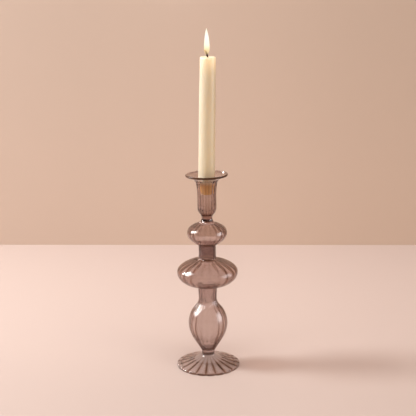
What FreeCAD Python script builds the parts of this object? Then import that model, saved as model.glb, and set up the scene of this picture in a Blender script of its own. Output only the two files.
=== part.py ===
import FreeCAD, Part
import os
import Sketcher
from FreeCAD import Vector, Placement, Rotation

# Hand-blown glass candlestick: a ribbed pressed foot, a stem of three hollow blown swellings
# joined by necks, a candle cup with a flared drip pan, and the tapered candle that stands in it.
# Units are millimetres, +Z is up, and the origin is the centre of the foot's resting plane.

os.makedirs("parts", exist_ok=True)
doc = FreeCAD.newDocument("Candlestick")

# ---------------------------------------------------------------------------------------------
# Sizes
# ---------------------------------------------------------------------------------------------
# Heights of the glass sections, bottom to top; each section stands on the ones before it.
SECTION_HEIGHTS = {
    "foot_height": 16.0,
    "foot_neck_height": 6.0,
    "pear_height": 64.5,
    "lower_collar_height": 21.0,
    "middle_bulb_height": 35.9,
    "upper_collar_height": 18.0,
    "upper_bulb_height": 30.6,
    "cup_neck_height": 8.2,
    "cup_height": 49.9,
}
SIZES = {
    **SECTION_HEIGHTS,
    # radii that the section outlines are scaled by
    "foot_radius": 40.15,
    "pear_radius": 24.75,
    "middle_bulb_radius": 38.5,
    "upper_bulb_radius": 25.05,
    "upper_collar_radius": 11.1,
    "pan_radius": 26.35,
    # radii where one section is fused to the next, bottom to top
    "weld_foot": 8.4,
    "weld_pear_base": 8.8,
    "weld_pear_top": 12.3,
    "weld_middle_base": 12.35,
    "weld_middle_top": 11.1,
    "weld_upper_base": 11.1,
    "weld_upper_top": 7.6,
    "weld_cup_base": 8.2,
    # glass thickness at the open ends of the blown sections
    "wall": 2.2,
    # flutes pressed into the top of the foot; the turn is in degrees about Z
    "flute_radius": 1.1,
    "flute_count": 20,
    "flute_turn": -5.0,
    # candle
    "candle_base_level": 226.0,
    "candle_length": 169.2,
    "candle_tip_radius": 6.0,
    "candle_seat_radius": 9.95,
    "candle_shaft_radius": 10.4,
    "candle_top_radius": 9.7,
    "wick_radius": 0.85,
    "wick_bore_radius": 0.87,
    "wick_stand": 9.4,
    "wick_lean": 3.4,
}
sheet = doc.addObject("Spreadsheet::Sheet", "Sizes")
for row, (alias, value) in enumerate(SIZES.items(), start=1):
    sheet.set("A%d" % row, alias.replace("_", " "))
    sheet.set("B%d" % row, repr(value))
    sheet.setAlias("B%d" % row, alias)
doc.recompute()


# ---------------------------------------------------------------------------------------------
# Lengths driven by the sheet
# ---------------------------------------------------------------------------------------------
class Length:
    """A length together with the expression that drives it; arithmetic carries both along."""

    def __init__(self, value, text):
        self.value = value
        self.text = text

    def __add__(self, other):
        if not isinstance(other, Length):
            other = fixed(other)
        return Length(self.value + other.value, "%s + %s" % (self.text, other.text))

    def __sub__(self, other):
        return self + -1.0 * other

    def __rmul__(self, factor):
        return Length(factor * self.value, "%r * (%s)" % (factor, self.text))


ZERO = Length(0.0, "0.0")
ORIGIN = (ZERO, ZERO)


def fixed(number):
    """A length that no sheet value drives."""
    return Length(number, repr(number)) if number else ZERO


def size(alias):
    return Length(SIZES[alias], "Sizes." + alias)


def bore(weld):
    """Inner radius of a hollow section where it is fused to the next."""
    return size(weld) - size("wall")


def scaled(fraction, whole):
    if isinstance(fraction, Length):
        return fraction
    return fraction * whole if fraction else ZERO


def shaped(table, radius, height):
    """Control points from rows of (radius / named radius, height / named height);
    a radius given as a Length, such as a fused ring, is taken as it is."""
    return [(scaled(r, size(radius)), scaled(z, size(height))) for r, z in table]


# ---------------------------------------------------------------------------------------------
# Sketches: geometry ids -1 and -2 are the sketch's horizontal and vertical axes
# ---------------------------------------------------------------------------------------------
def new_body(label):
    body = doc.addObject("PartDesign::Body", label)
    body.Label = label
    return body


def new_sketch(body, name, role="XZ_Plane"):
    sketch = body.newObject("Sketcher::SketchObject", name)
    plane = next(f for f in body.Origin.OriginFeatures if f.Role == role)
    sketch.AttachmentSupport = [(plane, "")]
    sketch.MapMode = "FlatFace"
    return sketch


def drive(sketch, length, kind, *where):
    """Add a dimension and bind it to the length's expression."""
    index = sketch.addConstraint(Sketcher.Constraint(kind, *where, length.value))
    sketch.setExpression("Constraints[%d]" % index, length.text)


def fix_point(sketch, geo, pos, x, y):
    """Hold a point at (x, y); a zero coordinate puts it on the axis instead."""
    for kind, zero_axis, length in (("DistanceX", -2, x), ("DistanceY", -1, y)):
        if length is ZERO:
            sketch.addConstraint(Sketcher.Constraint("PointOnObject", geo, pos, zero_axis))
        else:
            drive(sketch, length, kind, -1, 1, geo, pos)


def vector(point):
    x, y = point
    return Vector(x.value, y.value, 0)


def add_circle(sketch, centre, radius, construction=False):
    return sketch.addGeometry(Part.Circle(centre, Vector(0, 0, 1), radius), construction)


def add_spline(sketch, points, joined):
    """Clamped cubic on its control points, each held by the sheet; a spline joined to the
    one before it leaves its first point to that joint."""
    poles = [vector(p) for p in points]
    circles = [add_circle(sketch, pole, 1.0, construction=True) for pole in poles]
    weights = [Sketcher.Constraint("Weight", circles[0], 1.0)]
    weights += [Sketcher.Constraint("Equal", circles[0], c) for c in circles[1:]]
    sketch.addConstraint(weights)
    curve = sketch.addGeometry(Part.BSplineCurve(poles, None, None, False, 3, None, False), False)
    sketch.addConstraint([
        Sketcher.Constraint("InternalAlignment:Sketcher::BSplineControlPoint", c, 3, curve, i)
        for i, c in enumerate(circles)])
    for i, (circle, (x, y)) in enumerate(zip(circles, points)):
        if i or not joined:
            fix_point(sketch, circle, 3, x, y)
    return curve


def outline(sketch, curves, closed=True):
    """Chain of curves, each a list of points: two points are a line, more are a spline."""
    ids = []
    for i, points in enumerate(curves):
        if len(points) == 2:
            ids.append(sketch.addGeometry(Part.LineSegment(*map(vector, points)), False))
        else:
            ids.append(add_spline(sketch, points, joined=i > 0 and len(curves[i - 1]) > 2))
    count = len(ids)
    for i in range(count if closed else count - 1):
        sketch.addConstraint(
            Sketcher.Constraint("Coincident", ids[i], 2, ids[(i + 1) % count], 1))
    # Splines already hold their ends, so a line's start is free only after another line
    # or at the start of an open chain.
    for i, points in enumerate(curves):
        first_of_open = i == 0 and not closed
        if len(points) == 2 and (first_of_open or len(curves[i - 1]) == 2):
            fix_point(sketch, ids[i], 1, *points[0])


def turn(body, name, curves):
    """Turn a closed outline about the stem axis."""
    sketch = new_sketch(body, name + "_profile")
    outline(sketch, curves)
    turned = body.newObject("PartDesign::Revolution", name + "_turned")
    turned.Profile = sketch
    turned.ReferenceAxis = (sketch, ["V_Axis"])
    turned.Angle = 360.0
    doc.recompute()
    sketch.Visibility = False
    return sketch, turned


# ---------------------------------------------------------------------------------------------
# Stem sections
# ---------------------------------------------------------------------------------------------
def section(label, height, curves):
    """A turned glass section, stood on the sections below the one of this height."""
    body = new_body(label)
    turn(body, label, curves)
    names = list(SECTION_HEIGHTS)
    below = names[:names.index(height)]
    body.setExpression("Placement.Base.z", " + ".join("Sizes." + name for name in below))
    return body


def solid_section(label, radius, height, side):
    side = shaped(side, radius, height)
    top_centre = (ZERO, size(height))
    return section(label, height, [
        [ORIGIN, side[0]],
        side,
        [side[-1], top_centre],
        [top_centre, ORIGIN],
    ])


def tube_section(label, radius, height, outer, inner):
    outer = shaped(outer, radius, height)
    inner = shaped(inner, radius, height)
    return section(label, height, [
        [inner[0], outer[0]],
        outer,
        [outer[-1], inner[-1]],
        inner[::-1],
    ])


def make_foot_neck():
    return solid_section("foot_neck", "weld_pear_base", "foot_neck_height", [
        (size("weld_foot"), 0), (0.9209, 0.3152), (0.9150, 0.7034),
        (size("weld_pear_base"), 1)])


def make_pear_bulb():
    """Closed at the base, open upward into the lower collar."""
    outer = shaped([
        (size("weld_pear_base"), 0), (0.4420, 0.0484), (0.6201, 0.1592), (0.8746, 0.3074),
        (1.0243, 0.4999), (0.9932, 0.6774), (0.7939, 0.8626), (0.5340, 0.9399),
        (size("weld_pear_top"), 1)], "pear_radius", "pear_height")
    inner = shaped([
        (0, 0.029), (0.15, 0.029), (0.290, 0.034), (0.402, 0.098), (0.6695, 0.2546),
        (0.8501, 0.3744), (0.9408, 0.5557), (0.8655, 0.7224), (0.649, 0.8645),
        (0.4300, 0.9381), (bore("weld_pear_top"), 1)], "pear_radius", "pear_height")
    return section("pear_bulb", "pear_height", [
        [ORIGIN, outer[0]],
        outer,
        [outer[-1], inner[-1]],
        inner[::-1],
        [inner[0], ORIGIN],
    ])


def make_lower_collar():
    outer = [
        (size("weld_pear_top"), 0), (0.893, 0.1292), (0.9689, 0.5308), (0.9699, 0.8186),
        (size("weld_middle_base"), 1)]
    inner = [
        (bore("weld_pear_top"), 0), (0.7000, 0.1401), (0.7945, 0.5179), (0.7898, 0.8236),
        (bore("weld_middle_base"), 1)]
    return tube_section("lower_collar", "weld_middle_base", "lower_collar_height", outer, inner)


def make_middle_bulb():
    outer = [
        (size("weld_middle_base"), 0), (0.3413, 0.0327), (0.4715, 0.029), (0.6089, 0.0567),
        (0.7513, 0.1167), (0.8738, 0.2141), (0.9672, 0.3323), (1.0112, 0.5078),
        (0.9582, 0.6502), (0.8302, 0.7587), (0.706, 0.8338), (0.5583, 0.8946),
        (0.4302, 0.931), (0.2954, 0.9626), (size("weld_middle_top"), 1)]
    inner = [
        (bore("weld_middle_base"), 0), (0.2742, 0.0715), (0.3902, 0.096), (0.5482, 0.0977),
        (0.7082, 0.1626), (0.8399, 0.2574), (0.9429, 0.4102), (0.9429, 0.5872),
        (0.793, 0.7125), (0.6622, 0.788), (0.5003, 0.8517), (0.3459, 0.8839),
        (0.2375, 0.9306), (bore("weld_middle_top"), 1)]
    return tube_section("middle_bulb", "middle_bulb_radius", "middle_bulb_height", outer, inner)


def make_upper_collar():
    outer = [
        (size("weld_middle_top"), 0), (0.9673, 0.1669), (0.9713, 0.4986), (0.9632, 0.8354),
        (size("weld_upper_base"), 1)]
    inner = [
        (bore("weld_middle_top"), 0), (0.7586, 0.3231), (0.7501, 0.6777),
        (bore("weld_upper_base"), 1)]
    return tube_section("upper_collar", "upper_collar_radius", "upper_collar_height",
                        outer, inner)


def make_upper_bulb():
    """Open downward, closed above to a solid waist."""
    outer = shaped([
        (size("weld_upper_base"), 0), (0.4766, 0.0304), (0.5993, 0.0245), (0.7461, 0.1332),
        (0.8569, 0.2105), (0.9735, 0.3417), (1.0121, 0.4557), (0.979, 0.6185),
        (0.8885, 0.7186), (0.7338, 0.8023), (0.584, 0.8548), (0.4216, 0.9028),
        (0.324, 0.9546), (size("weld_upper_top"), 1)], "upper_bulb_radius", "upper_bulb_height")
    inner = shaped([
        (bore("weld_upper_base"), 0), (0.3699, 0.0739), (0.4978, 0.0922), (0.631, 0.1333),
        (0.7811, 0.2584), (0.8983, 0.3631), (0.9263, 0.5192), (0.8538, 0.6532),
        (0.6867, 0.7436), (0.5287, 0.7902), (0.3549, 0.8611), (0.1817, 0.8646),
        (0.06, 0.8824), (0, 0.8824)], "upper_bulb_radius", "upper_bulb_height")
    top_centre = (ZERO, size("upper_bulb_height"))
    return section("upper_bulb", "upper_bulb_height", [
        [inner[0], outer[0]],
        outer,
        [outer[-1], top_centre],
        [top_centre, inner[-1]],
        inner[::-1],
    ])


def make_cup_neck():
    return solid_section("cup_neck", "weld_cup_base", "cup_neck_height", [
        (size("weld_upper_top"), 0), (0.8400, 0.136), (0.7750, 0.54), (0.9050, 0.8485),
        (size("weld_cup_base"), 1)])


def make_candle_cup():
    """Closed at the base, a narrow throat that the candle seats on, and a flared pan
    with a fire-polished round rim."""
    scale = ("pan_radius", "cup_height")
    outer = shaped([
        (size("weld_cup_base"), 0), (0.4000, 0.0450), (0.4650, 0.1200), (0.4480, 0.3086),
        (0.4448, 0.4706), (0.4606, 0.6174), (0.4918, 0.8107), (0.6290, 0.9097),
        (0.8980, 0.9520), (0.9628, 0.9535)], *scale)
    inner = shaped([
        (0.9628, 1.003), (0.9141, 1.0045), (0.7320, 0.9680), (0.5960, 0.9400),
        (0.3930, 0.8500), (0.3700, 0.7800), (0.3689, 0.6200), (0.3649, 0.5062),
        (0.3628, 0.3788), (0.3616, 0.2789), (0.3653, 0.1445), (0.2757, 0.062),
        (0.1225, 0.046), (0, 0.046)], *scale)
    rim = [outer[-1], *shaped([(1.0140, 0.9560), (1.0140, 1.0010)], *scale), inner[0]]
    return section("candle_cup", "cup_height", [
        [ORIGIN, outer[0]],
        outer,
        rim,
        inner,
        [inner[-1], ORIGIN],
    ])


# ---------------------------------------------------------------------------------------------
# Foot: thick pressed disc, flat resting ring, hollowed underside, flutes on top
# ---------------------------------------------------------------------------------------------
def make_foot():
    foot = new_body("foot")
    top = shaped([
        (size("weld_foot"), 1), (0.2150, 0.9035), (0.2740, 0.8034), (0.3697, 0.7014),
        (0.4706, 0.6104), (0.5729, 0.5256), (0.6728, 0.4412), (0.7808, 0.3714),
        (0.8745, 0.3015), (1.0065, 0.2612), (1.0091, 0.0585), (0.9722, 0)],
        "foot_radius", "foot_height")
    underside = shaped([
        (0.8709, 0), (0.8305, 0.1241), (0.655, 0.2325), (0.4534, 0.3842),
        (0.2247, 0.5523), (0.0781, 0.5812), (0, 0.5812)], "foot_radius", "foot_height")
    top_centre = (ZERO, size("foot_height"))
    profile, turned = turn(foot, "foot", [
        [top_centre, top[0]],
        top,
        [top[-1], underside[0]],
        underside,
        [underside[-1], top_centre],
    ])
    cut_flutes(foot, profile, turned)
    foot.Placement = Placement(Vector(0, 0, 0), Rotation(Vector(0, 0, 1), SIZES["flute_turn"]))
    doc.recompute()
    return foot


def cut_flutes(foot, profile, turned):
    """One flute follows the slope of the foot just above its surface: it starts clear of the
    glass near the neck, sinks in, and runs out over the rim. It is then repeated around."""
    path_points = shaped([
        (0.40, 0.800), (0.54, 0.500), (0.76, 0.375), (0.970, 0.280), (1.012, 0.175),
        (1.012, -0.060)], "foot_radius", "foot_height")
    path = new_sketch(foot, "flute_path")
    outline(path, [path_points], closed=False)
    doc.recompute()

    start_radius, start_height = path_points[0]
    circle_sketch = new_sketch(foot, "flute_round", "YZ_Plane")
    circle_sketch.setExpression("AttachmentOffset.Base.z", start_radius.text)
    circle = add_circle(circle_sketch, vector((ZERO, start_height)), SIZES["flute_radius"])
    fix_point(circle_sketch, circle, 3, ZERO, start_height)
    drive(circle_sketch, size("flute_radius"), "Radius", circle)
    doc.recompute()

    flute = foot.newObject("PartDesign::SubtractivePipe", "flute")
    flute.Profile = circle_sketch
    flute.Spine = (path, ["Edge1"])
    doc.recompute()
    flutes = foot.newObject("PartDesign::PolarPattern", "flutes")
    flutes.Originals = [flute]
    flutes.Axis = (profile, ["V_Axis"])
    flutes.Angle = 360.0
    flutes.setExpression("Occurrences", "Sizes.flute_count")
    foot.Tip = flutes
    doc.recompute()
    if len(flutes.Shape.Faces) < len(turned.Shape.Faces) + SIZES["flute_count"]:
        raise RuntimeError("the flutes did not cut the foot")
    for sketch in (path, circle_sketch):
        sketch.Visibility = False


# ---------------------------------------------------------------------------------------------
# Candle
# ---------------------------------------------------------------------------------------------
def make_candle_wax():
    """Tapered wax with a whittled lower end that wedges in the throat, bored for its wick."""
    body = new_body("candle_wax")
    bore_radius = size("wick_bore_radius")
    tip = size("candle_tip_radius")
    seat = size("candle_seat_radius")
    shaft = size("candle_shaft_radius")
    top = size("candle_top_radius")
    # Lower end, upward: radius, height above the candle's base
    lower_end = [(radius, fixed(z)) for radius, z in [
        (tip, 0),
        (tip + 0.6, 0.0001),
        (tip + 1.1, 0.8),
        (tip + 2.3, 6.0),
        (tip + 2.8, 11.4),
        (seat - 0.95, 13.1),
        (seat - 0.08, 14.5),
        (seat + 0.30, 15.6),
        (shaft - 0.03, 19.0),
        (shaft, 25.0),
    ]]
    # Upper end, from the shoulder in to the bore: radius, height relative to candle_length
    upper_end = [(radius, size("candle_length") + z) for radius, z in [
        (top + 0.05, -2.6),
        (top, -1.2),
        (top - 0.35, -0.1),
        (top - 1.7, 0.05),
        (top - 3.0, -0.2),
        (0.45 * top, -1.3),
        (0.25 * top, -1.5),
        (bore_radius, -1.5),
    ]]
    bore_base = (bore_radius, ZERO)
    turn(body, "wax", [
        [bore_base, lower_end[0]],
        lower_end,
        [lower_end[-1], upper_end[0]],
        upper_end,
        [upper_end[-1], bore_base],
    ])
    body.setExpression("Placement.Base.z", "Sizes.candle_base_level")
    return body


def make_candle_wick():
    """Straight through the candle, then bent over toward -X above it."""
    body = new_body("candle_wick")
    stand = size("wick_stand")
    lean = size("wick_lean")
    bend_height = size("candle_length") - 0.5
    bend = (ZERO, bend_height)
    path = new_sketch(body, "wick_path")
    outline(path, [
        [ORIGIN, bend],
        [bend,
         (ZERO, bend_height + 0.25 * stand),
         (-0.28 * lean, bend_height + 0.55 * stand),
         (-1.0 * lean, bend_height + 0.92 * stand)],
    ], closed=False)
    circle_sketch = new_sketch(body, "wick_round", "XY_Plane")
    circle = add_circle(circle_sketch, Vector(0, 0, 0), SIZES["wick_radius"])
    circle_sketch.addConstraint(Sketcher.Constraint("Coincident", circle, 3, -1, 1))
    drive(circle_sketch, size("wick_radius"), "Radius", circle)
    doc.recompute()
    braid = body.newObject("PartDesign::AdditivePipe", "braid")
    braid.Profile = circle_sketch
    braid.Spine = (path, ["Edge1", "Edge2"])
    body.setExpression("Placement.Base.z", "Sizes.candle_base_level")
    doc.recompute()
    return body


# ---------------------------------------------------------------------------------------------
# Build, check and export
# ---------------------------------------------------------------------------------------------
bodies = [
    make_foot(),
    make_foot_neck(),
    make_pear_bulb(),
    make_lower_collar(),
    make_middle_bulb(),
    make_upper_collar(),
    make_upper_bulb(),
    make_cup_neck(),
    make_candle_cup(),
    make_candle_wax(),
    make_candle_wick(),
]
doc.recompute()
for obj in doc.Objects:
    if "Invalid" in obj.State or "Error" in obj.State:
        raise RuntimeError("%s: %s" % (obj.Label, obj.State))
for body in bodies:
    shape = body.Shape
    if shape.isNull() or not shape.isValid() or len(shape.Solids) != 1:
        raise RuntimeError("bad shape: " + body.Label)
    shape.exportStep("parts/%s.step" % body.Label)
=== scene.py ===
"""Smoky glass candlestick with a lit candle, on a studio floor before a backdrop.

The stem stands on the floor along +Z, centred on the Z axis. The camera looks from -Y, so -Y is
the front and -X the left. The glass is a stack of lathed, ribbed shells, one for each CAD piece.
"""

import math

import bpy
import numpy as np
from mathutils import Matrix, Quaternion, Vector, noise


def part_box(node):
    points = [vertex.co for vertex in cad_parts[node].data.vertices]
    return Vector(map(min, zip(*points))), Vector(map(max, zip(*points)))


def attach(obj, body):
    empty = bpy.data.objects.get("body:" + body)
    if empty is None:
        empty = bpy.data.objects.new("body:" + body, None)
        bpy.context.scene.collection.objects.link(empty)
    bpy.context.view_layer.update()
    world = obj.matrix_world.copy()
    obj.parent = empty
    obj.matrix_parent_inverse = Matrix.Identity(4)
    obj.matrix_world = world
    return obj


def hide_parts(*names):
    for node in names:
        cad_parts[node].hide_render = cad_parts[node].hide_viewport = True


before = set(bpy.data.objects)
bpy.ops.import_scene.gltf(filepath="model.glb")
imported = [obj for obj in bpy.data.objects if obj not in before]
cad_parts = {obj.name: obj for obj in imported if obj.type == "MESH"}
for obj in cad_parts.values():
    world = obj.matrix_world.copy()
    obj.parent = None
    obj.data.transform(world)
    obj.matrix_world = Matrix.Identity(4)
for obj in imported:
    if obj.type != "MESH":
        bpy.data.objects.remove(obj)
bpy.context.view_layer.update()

MM = 0.001
RIBS = 20
RIB_TURN = math.radians(-95.0)      # a flute faces the front, a little to the left

# ------------------------------------------------------------------ section profiles
# Control points of clamped cubics: (radius factor, height factor). The radius factor is scaled so
# that the widest point meets the CAD node, the height factor spans the node from bottom to top.
FOOT_TOP_OUTER = [
    (0.2092, 1), (0.2150, 0.9035), (0.2740, 0.8034), (0.3697, 0.7014), (0.4706, 0.6104),
    (0.5729, 0.5256), (0.6728, 0.4412), (0.7808, 0.3714), (0.8745, 0.3015), (1.0065, 0.2612),
    (1.0091, 0.0585), (0.9722, 0)]
FOOT_UNDER = [
    (0.8709, 0), (0.8305, 0.1241), (0.655, 0.2325), (0.4534, 0.3842), (0.2247, 0.5523),
    (0.0781, 0.5812), (0, 0.5812)]
FOOT_NECK_OUTER = [(0.9545, 0), (0.9209, 0.3152), (0.9150, 0.7034), (1, 1)]
PEAR_OUTER = [
    (0.3556, 0), (0.4420, 0.0484), (0.6201, 0.1592), (0.8746, 0.3074), (1.0243, 0.4999),
    (0.9932, 0.6774), (0.7939, 0.8626), (0.5340, 0.9399), (0.4970, 1)]
PEAR_INNER = [
    (0, 0.029), (0.15, 0.029), (0.290, 0.034), (0.402, 0.098), (0.6695, 0.2546),
    (0.8501, 0.3744), (0.9408, 0.5557), (0.8655, 0.7224), (0.649, 0.8645), (0.4300, 0.9381),
    (0.4081, 1)]
LOWER_COLLAR_OUTER = [(0.996, 0), (0.893, 0.1292), (0.9689, 0.5308), (0.9699, 0.8186), (1, 1)]
LOWER_COLLAR_INNER = [
    (0.8178, 0), (0.7000, 0.1401), (0.7945, 0.5179), (0.7898, 0.8236), (0.8219, 1)]
MIDDLE_OUTER = [
    (0.3208, 0), (0.3413, 0.0327), (0.4715, 0.029), (0.6089, 0.0567), (0.7513, 0.1167),
    (0.8738, 0.2141), (0.9672, 0.3323), (1.0112, 0.5078), (0.9582, 0.6502), (0.8302, 0.7587),
    (0.706, 0.8338), (0.5583, 0.8946), (0.4302, 0.931), (0.2954, 0.9626), (0.2883, 1)]
MIDDLE_INNER = [
    (0.2636, 0), (0.2742, 0.0715), (0.3902, 0.096), (0.5482, 0.0977), (0.7082, 0.1626),
    (0.8399, 0.2574), (0.9429, 0.4102), (0.9429, 0.5872), (0.793, 0.7125), (0.6622, 0.788),
    (0.5003, 0.8517), (0.3459, 0.8839), (0.2375, 0.9306), (0.2312, 1)]
UPPER_COLLAR_OUTER = [(1, 0), (0.9673, 0.1669), (0.9713, 0.4986), (0.9632, 0.8354), (1, 1)]
UPPER_COLLAR_INNER = [(0.8018, 0), (0.7586, 0.3231), (0.7501, 0.6777), (0.8018, 1)]
UPPER_OUTER = [
    (0.4431, 0), (0.4766, 0.0304), (0.5993, 0.0245), (0.7461, 0.1332), (0.8569, 0.2105),
    (0.9735, 0.3417), (1.0121, 0.4557), (0.979, 0.6185), (0.8885, 0.7186), (0.7338, 0.8023),
    (0.584, 0.8548), (0.4216, 0.9028), (0.324, 0.9546), (0.3034, 1)]
UPPER_INNER = [
    (0.3553, 0), (0.3699, 0.0739), (0.4978, 0.0922), (0.631, 0.1333), (0.7811, 0.2584),
    (0.8983, 0.3631), (0.9263, 0.5192), (0.8538, 0.6532), (0.6867, 0.7436), (0.5287, 0.7902),
    (0.3549, 0.8611), (0.1817, 0.8646), (0.06, 0.8824), (0, 0.8824)]
CUP_NECK_OUTER = [(0.9268, 0), (0.8400, 0.136), (0.7750, 0.54), (0.9050, 0.8485), (1, 1)]
CUP_OUTER = [
    (0.3112, 0), (0.4000, 0.0450), (0.4650, 0.1200), (0.4480, 0.3086), (0.4448, 0.4706),
    (0.4606, 0.6174), (0.4918, 0.8107), (0.6290, 0.9097), (0.8980, 0.9520), (0.9628, 0.9535)]
CUP_RIM = [(0.9628, 0.9535), (1.0140, 0.9560), (1.0140, 1.0010), (0.9628, 1.003)]
CUP_INNER = [
    (0.9628, 1.003), (0.9141, 1.0045), (0.7320, 0.9680), (0.5960, 0.9400), (0.3930, 0.8500),
    (0.3700, 0.7800), (0.3689, 0.6200), (0.3649, 0.5062), (0.3628, 0.3788), (0.3616, 0.2789),
    (0.3653, 0.1445), (0.2757, 0.062), (0.1225, 0.046), (0, 0.046)]

WALL_STEP = 0.9 * MM        # spacing of profile points on the blown walls
GAP = 0.012 * MM            # fused sections stand this far inside their ends

# ------------------------------------------------------------------ rib tables
STEM_RIB = np.array([   # height mm, depth of a flute mm
    (0, .05), (17, .10), (21.5, .20), (24, .50), (30, .55), (40, .42), (52, .26), (62, .24),
    (72, .34), (80, .50), (86, .42), (92, .30), (104, .30), (108, .50), (112, .60), (117, .40),
    (125, .26), (132, .40), (138, .62), (142, .50), (145, .16), (151, .10), (160, .14),
    (162, .45), (166, .52), (172, .30), (178, .28), (184, .46), (188, .40), (192, .10),
    (200, .10), (204, .30), (210, .46), (225, .40), (238, .34), (243, .22), (247, .05),
    (249, .0), (260, .0)])
TWIST = np.array([      # height mm, turn of the flutes in degrees
    (0, 0), (20, 0), (60, 2), (95, 4), (104, 5), (125, 9), (145, 12), (158, 12), (175, 15),
    (192, 18), (205, 18), (250, 18)])
FOOT_RIB = np.array([   # radius mm, depth of a flute mm
    (0, 0), (13.5, 0), (17, .25), (21, .60), (27, .85), (33, .85), (38, .80), (40, .70)])
STEM_LINE = np.array([  # height mm, how dark the painted shade along a flute reads
    (0, .2), (17, .25), (21, .40), (25, .95), (31, .95), (38, .85), (44, .80), (52, .75),
    (62, .75), (70, .75), (79, .70), (86, .50), (92, .30), (104, .32), (107.5, .60), (109, .95),
    (112, .75), (116, .55), (122, .70), (127, .85), (133, 1.0), (140, 1.0), (144, .75),
    (147, .10), (158, .12), (161.5, 1.0), (164.5, .80), (167, .50), (170, .50), (176, .75),
    (183, 1.0), (187, .95), (190, .40), (193, .15), (199, .25), (206, .45), (214, .40),
    (232, .36), (241, .25), (247, .0), (260, .0)])
FOOT_LINE = np.array([  # radius mm, how dark the painted shade along a flute reads
    (0, 0), (8.5, .05), (12, .25), (16, .45), (19.5, .85), (24, 1.0), (33, 1.0), (37, .90),
    (39.5, .60), (41, .50)])
JOINT_RINGS = [         # painted dark rings at fused joints: height mm, half-width mm, darkness, reach from the axis mm
    (18.2, .95, .70, 14), (25.4, .65, 1.0, 14), (109.2, 2.2, 1.0, 26), (142.9, 1.3, 1.0, 14),
    (162.9, 2.0, 1.0, 16.5)]
JOINT_FADE = 3          # mm beyond its reach over which a ring fades out
LINE_WIDTH = 0.27       # of the painted dark lines along the stem's flutes
PAN_PAINTED_SHADE = 0.22         # painted shade inside the pan, strongest on the left

# Positions of the vertices across one rib, closer together near its flutes
RIB_STATIONS = np.array([
    0, .022, .045, .07, .10, .14, .20, .29, .395, .5, .605, .71, .80, .86, .90, .93, .955, .978])
ANGLES = ((np.arange(RIBS)[:, None] + RIB_STATIONS[None, :]).ravel() * 2 * math.pi / RIBS
          + RIB_TURN)


# ------------------------------------------------------------------ curves
def basis(count, params):
    """Clamped uniform cubic B-spline basis of count poles, one row per parameter."""
    degree = 3
    inner = count - degree - 1
    knots = np.r_[np.zeros(degree + 1), np.arange(1, inner + 1) / (inner + 1),
                  np.ones(degree + 1)]
    params = np.clip(params, 0, 1 - 1e-9)
    rows = [((params >= knots[i]) & (params < knots[i + 1])).astype(float)
            for i in range(len(knots) - 1)]
    for d in range(1, degree + 1):
        raised = []
        for i in range(len(knots) - 1 - d):
            left = right = 0.0
            if knots[i + d] > knots[i]:
                left = (params - knots[i]) / (knots[i + d] - knots[i]) * rows[i]
            if knots[i + d + 1] > knots[i + 1]:
                right = ((knots[i + d + 1] - params) / (knots[i + d + 1] - knots[i + 1])
                         * rows[i + 1])
            raised.append(left + right)
        rows = raised
    return np.stack(rows, 1)


def curve(poles, step):
    """Points along the control points' curve, about step apart."""
    poles = np.asarray(poles, float)
    fine = basis(len(poles), np.linspace(0, 1, 1500)) @ poles
    length = np.r_[0, np.cumsum(np.hypot(*np.diff(fine, axis=0).T))]
    count = max(6, int(round(length[-1] / step)) + 1)
    stations = np.linspace(0, length[-1], count)
    return np.stack([np.interp(stations, length, fine[:, 0]),
                     np.interp(stations, length, fine[:, 1])], 1)


def wall_curve(node, table, step=WALL_STEP, widest_table=None):
    """A table's curve scaled to a CAD node; widest_table holds the piece's widest point."""
    low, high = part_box(node)
    reference = np.asarray(widest_table or table, float)
    widest = (basis(len(reference), np.linspace(0, 1, 800)) @ reference)[:, 0].max()
    unit = (high[0] - low[0]) / 2 / widest
    table = np.asarray(table, float)
    return curve(np.stack([table[:, 0] * unit, low[2] + table[:, 1] * (high[2] - low[2])], 1),
                 step)


def straight(start, end, count):
    start, end = np.array(start), np.array(end)
    return [start + (end - start) * t for t in np.linspace(0, 1, count)]


def look_up(table, x):
    return np.interp(x, table[:, 0], table[:, 1])


def smooth(t):
    """Smoothstep of a value already between 0 and 1."""
    return t * t * (3 - 2 * t)


# ------------------------------------------------------------------ meshes
def new_object(name, verts, faces, smooth_shaded=True):
    mesh = bpy.data.meshes.new(name)
    mesh.from_pydata([tuple(vert) for vert in verts], [], faces)
    if smooth_shaded:
        mesh.polygons.foreach_set("use_smooth", [True] * len(mesh.polygons))
    mesh.update()
    ob = bpy.data.objects.new(name, mesh)
    bpy.context.scene.collection.objects.link(ob)
    return ob


def get_coords(ob):
    coords = np.empty(len(ob.data.vertices) * 3)
    ob.data.vertices.foreach_get("co", coords)
    return coords.reshape(-1, 3)


def set_coords(ob, coords):
    ob.data.vertices.foreach_set("co", coords.ravel())
    ob.data.update()


def add_attribute(ob, name, domain, values, kind="FLOAT"):
    ob.data.attributes.new(name, kind, domain).data.foreach_set("value", values)


def fit(ob, node, part):
    """Puts an object in the place of a CAD node."""
    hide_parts(node)
    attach(ob, part)


def joint_darkness(height, radius):
    """Painted darkness of the fused rings at a height and radius in mm."""
    return max(dark * math.exp(-((height - middle) / half_width) ** 2)
               * min(1.0, max(0.0, (reach + JOINT_FADE - radius) / JOINT_FADE))
               for middle, half_width, dark, reach in JOINT_RINGS)


def join_loops(loops):
    """Profile points of all loops in a row, and the kind of each segment between them."""
    points, kinds = [], []
    for loop, kind in loops:
        loop = np.asarray(loop, float)
        points += list(loop[1 if points else 0:])
        kinds += [kind] * (len(loop) - 1)
    points = np.array(points)
    closed = np.hypot(*(points[0] - points[-1])) < 1e-9
    return (points[:-1] if closed else points), kinds


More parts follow.
